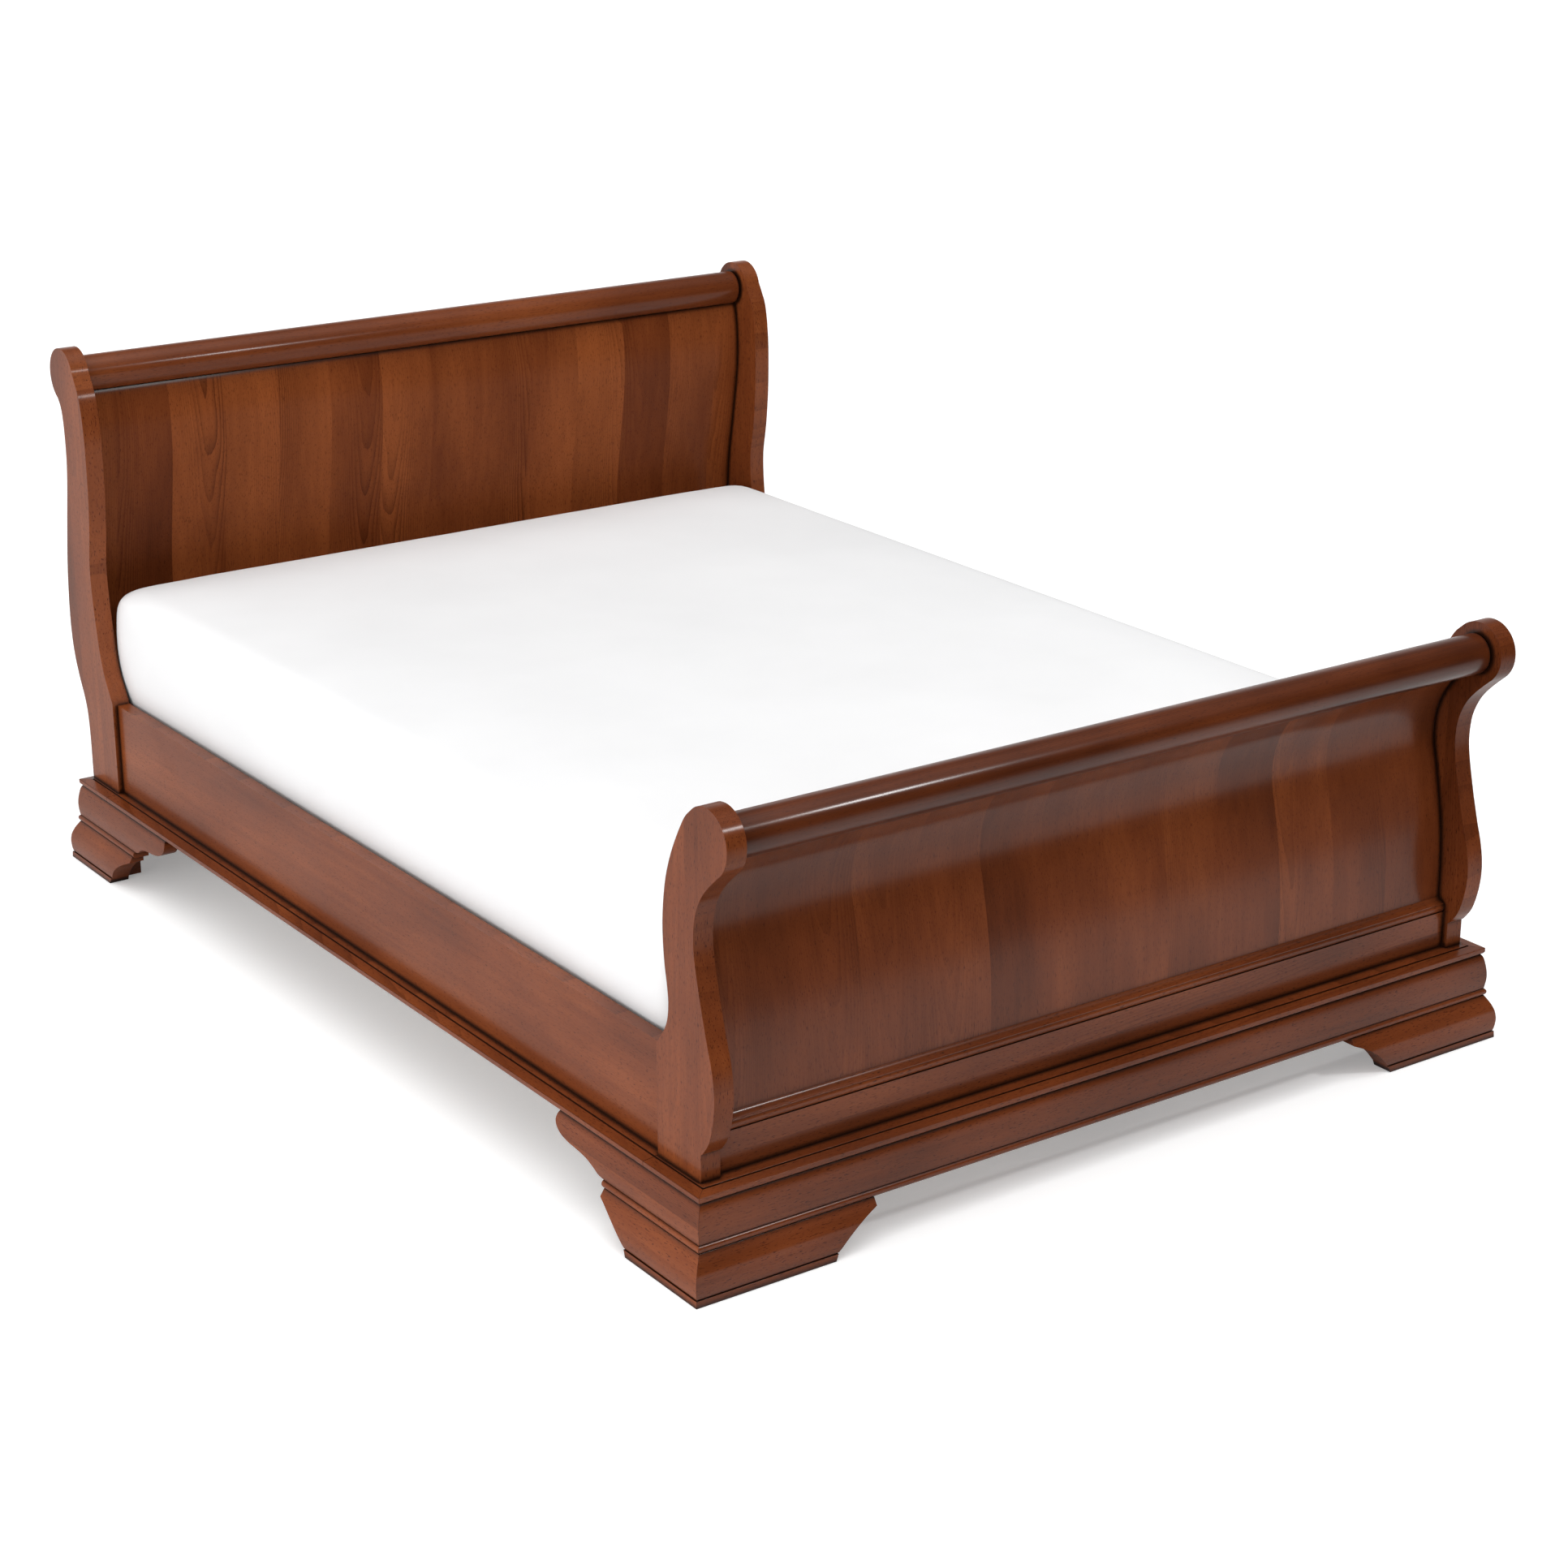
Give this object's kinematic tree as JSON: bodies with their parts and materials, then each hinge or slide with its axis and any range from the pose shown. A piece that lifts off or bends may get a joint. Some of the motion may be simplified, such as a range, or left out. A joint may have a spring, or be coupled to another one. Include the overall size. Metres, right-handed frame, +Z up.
{
  "type": "sleigh bed",
  "caption": "Wooden sleigh bed: scrolled, curved head and foot ends, side rails, moulded plinth with bracket feet, slatted base and a loose mattress.",
  "frame": {"origin": "on the floor, at the middle of the bed's width and length", "axes": "+Z up, +Y along the bed from the foot end to the head end, +X across the bed to the sleeper's left when lying on the back"},
  "size_m": [1.7, 2.339, 1.045],
  "materials": {
    "post_wood": "satin lacquered mahogany, grain upright",
    "panel_wood": "satin lacquered mahogany staves, grain upright",
    "rail_wood": "satin lacquered mahogany, grain lengthwise",
    "plain_wood": "plain sanded pale wood",
    "hardware": "zinc plated",
    "glide": "black moulded plastic",
    "mattress_cover": "smooth white fitted cover"
  },
  "bodies": {
    "bedstead": {"foot_post_left": "post_wood", "foot_post_right": "post_wood", "head_post_left": "post_wood", "head_post_right": "post_wood", "foot_roll": "rail_wood", "head_roll": "rail_wood", "foot_panel": "panel_wood", "head_panel": "panel_wood", "foot_panel_bead": "rail_wood", "foot_bottom_rail": "rail_wood", "head_bottom_rail": "rail_wood", "foot_cap_front": "rail_wood", "foot_cap_left": "rail_wood", "foot_cap_right": "rail_wood", "foot_frieze_front": "rail_wood", "foot_frieze_left": "rail_wood", "foot_frieze_right": "rail_wood", "foot_astragal_front": "rail_wood", "foot_astragal_left": "rail_wood", "foot_astragal_right": "rail_wood", "foot_bracket_front_left": "rail_wood", "foot_bracket_front_right": "rail_wood", "foot_bracket_side_left": "rail_wood", "foot_bracket_side_right": "rail_wood", "head_cap_left": "rail_wood", "head_cap_right": "rail_wood", "head_frieze_left": "rail_wood", "head_frieze_right": "rail_wood", "head_astragal_left": "rail_wood", "head_astragal_right": "rail_wood", "head_bracket_side_left": "rail_wood", "head_bracket_side_right": "rail_wood", "head_cap_back": "rail_wood", "head_frieze_back": "rail_wood", "head_astragal_back": "rail_wood", "head_bracket_back_left": "rail_wood", "head_bracket_back_right": "rail_wood", "corner_blocks": "rail_wood", "side_rail_left": "rail_wood", "side_rail_right": "rail_wood", "rail_moulding_left": "rail_wood", "rail_moulding_right": "rail_wood", "slat_ledge_left": "plain_wood", "slat_ledge_right": "plain_wood", "slats": "plain_wood", "slat_screws": "hardware", "ledge_screws": "hardware", "centre_beam": "plain_wood", "centre_legs": "plain_wood", "leg_glides": "glide", "beam_hangers": "hardware", "hanger_screws": "hardware", "rail_hook_plates": "hardware", "post_slot_plates": "hardware", "plate_screws": "hardware"},
    "mattress": {"mattress": "mattress_cover"}
  },
  "joints": [
    {"name": "mattress_lift", "type": "slide", "parent": "bedstead", "child": "mattress", "axis": [0, 0, 1], "range_m": [0, 0.5]}
  ]
}
